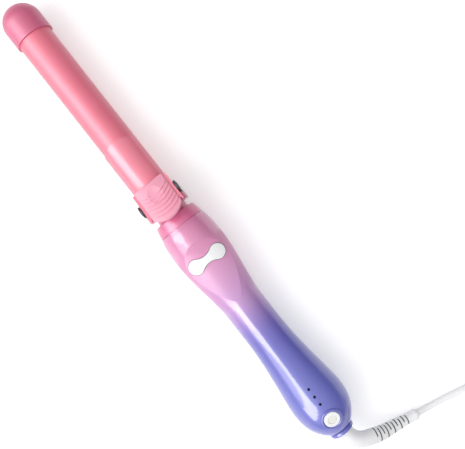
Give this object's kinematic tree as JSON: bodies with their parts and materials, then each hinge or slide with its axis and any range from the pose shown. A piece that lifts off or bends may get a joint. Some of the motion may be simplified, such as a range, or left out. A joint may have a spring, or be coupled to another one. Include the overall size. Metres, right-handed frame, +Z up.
{
  "type": "rotating curling iron",
  "caption": "Hand-held curling iron with a turning round barrel, sprung clamp with a ribbed thumb lever, waisted handle with rocker and power buttons, and a swivelling, coiled mains cord.",
  "frame": {"origin": "on the surface that the iron lies on, below the middle of the iron without its cord", "axes": "+X along the barrel's axis from the handle to the tip, +Z up out of the control face, +Y to the left when looking from the handle towards the tip; the object lies as in the picture"},
  "size_m": [0.4886, 0.1846, 0.0442],
  "materials": {
    "cap_pink": "smooth pink",
    "insulator": "moulded, cream",
    "screw_steel": "zinc plated",
    "barrel_coral": "coral pink ceramic coat",
    "spreader": "extruded",
    "heater": "ceramic heater in its film",
    "sensor": "glass bead",
    "hub_pink": "heat-proof pink",
    "hinge_steel": "dark finish",
    "spring_steel": "spring wire",
    "clamp_pink": "pink coat with a soft shine",
    "pad_pink": "satin pink",
    "spindle": "turned",
    "inner_plastic": "natural",
    "black_plastic": "black",
    "contact_brass": "bright",
    "motor_steel": "plated can",
    "brush_carbon": "carbon",
    "damper_rubber": "soft",
    "board_green": "solder mask",
    "handle_ombre": "gloss, pink to violet to blue-violet",
    "collar_pink": "gloss pink",
    "button_white": "white",
    "lens_cream": "milky cream",
    "lens_dark": "dark",
    "cord_white": "satin white",
    "tie_white": "paper white",
    "blade_brass": "nickel plated"
  },
  "bodies": {
    "handle": {"upper_shell": "handle_ombre", "lower_shell": "handle_ombre", "nose_collar": "collar_pink", "front_bulkhead": "inner_plastic", "front_bearing": "contact_brass", "rear_bulkhead": "inner_plastic", "rear_bearing": "contact_brass", "brush_holder": "black_plastic", "brushes": "brush_carbon", "home_switch": "black_plastic", "motor_plate": "inner_plastic", "motor_screws": "screw_steel", "gearbox": "contact_brass", "motor": "motor_steel", "motor_sleeve": "damper_rubber", "direction_board": "board_green", "direction_switches": "black_plastic", "rocker_bracket": "spring_steel", "circuit_board": "board_green", "board_parts": "black_plastic", "board_screws": "screw_steel", "led_lenses": "lens_dark", "power_switch": "black_plastic", "case_screws": "screw_steel", "tail_ring": "handle_ombre", "contact_block": "black_plastic"},
    "barrel": {"tip_cap": "cap_pink", "tip_insulator": "insulator", "tip_screws": "screw_steel", "barrel_tube": "barrel_coral", "heat_spreader_upper": "spreader", "heat_spreader_lower": "spreader", "heater_plate": "heater", "temperature_sensor": "sensor", "thermal_fuse": "insulator", "barrel_hub": "hub_pink", "clamp_saddle": "hinge_steel", "saddle_rivets": "screw_steel", "hinge_pin": "hinge_steel", "clamp_spring": "spring_steel", "spindle": "spindle", "slip_ring_core": "inner_plastic", "slip_rings": "contact_brass", "home_cam": "black_plastic", "drive_coupling": "black_plastic", "output_shaft": "motor_steel"},
    "clamp": {"clamp_plate": "clamp_pink", "lever_pad": "pad_pink", "lever_screws": "screw_steel"},
    "rocker": {"rocker_button": "button_white"},
    "power_key": {"power_button": "button_white", "power_lens": "lens_cream"},
    "cord": {"swivel_stem": "cord_white", "strain_relief": "cord_white", "cord_run": "cord_white", "cord_coil": "cord_white", "coil_ties": "tie_white", "plug_body": "cord_white", "plug_blades": "blade_brass"}
  },
  "joints": [
    {"name": "barrel_spin", "type": "hinge", "parent": "handle", "child": "barrel", "pos_m": [0, 0, 0.0191], "axis": [1, 0, 0], "continuous": true},
    {"name": "clamp_open", "type": "hinge", "parent": "barrel", "child": "clamp", "pos_m": [0.01715, 0, 0.0341], "axis": [0, -1, 0], "range_deg": [0, 18], "stiffness_Nm_per_rad": 0.3, "springref_deg": -28.65, "deforming": ["clamp_spring"]},
    {"name": "rocker_tilt", "type": "hinge", "parent": "handle", "child": "rocker", "pos_m": [-0.03435, 0, 0.0287], "axis": [1, 0, 0], "range_deg": [-3.5, 3.5], "stiffness_Nm_per_rad": 0.05},
    {"name": "power_press", "type": "slide", "parent": "handle", "child": "power_key", "axis": [0.309, 0, -0.9511], "range_m": [0, 0.0008], "stiffness_N_per_m": 1500},
    {"name": "cord_swivel", "type": "hinge", "parent": "handle", "child": "cord", "pos_m": [-0.18, 0, 0.0191], "axis": [1, 0, 0], "continuous": true}
  ]
}
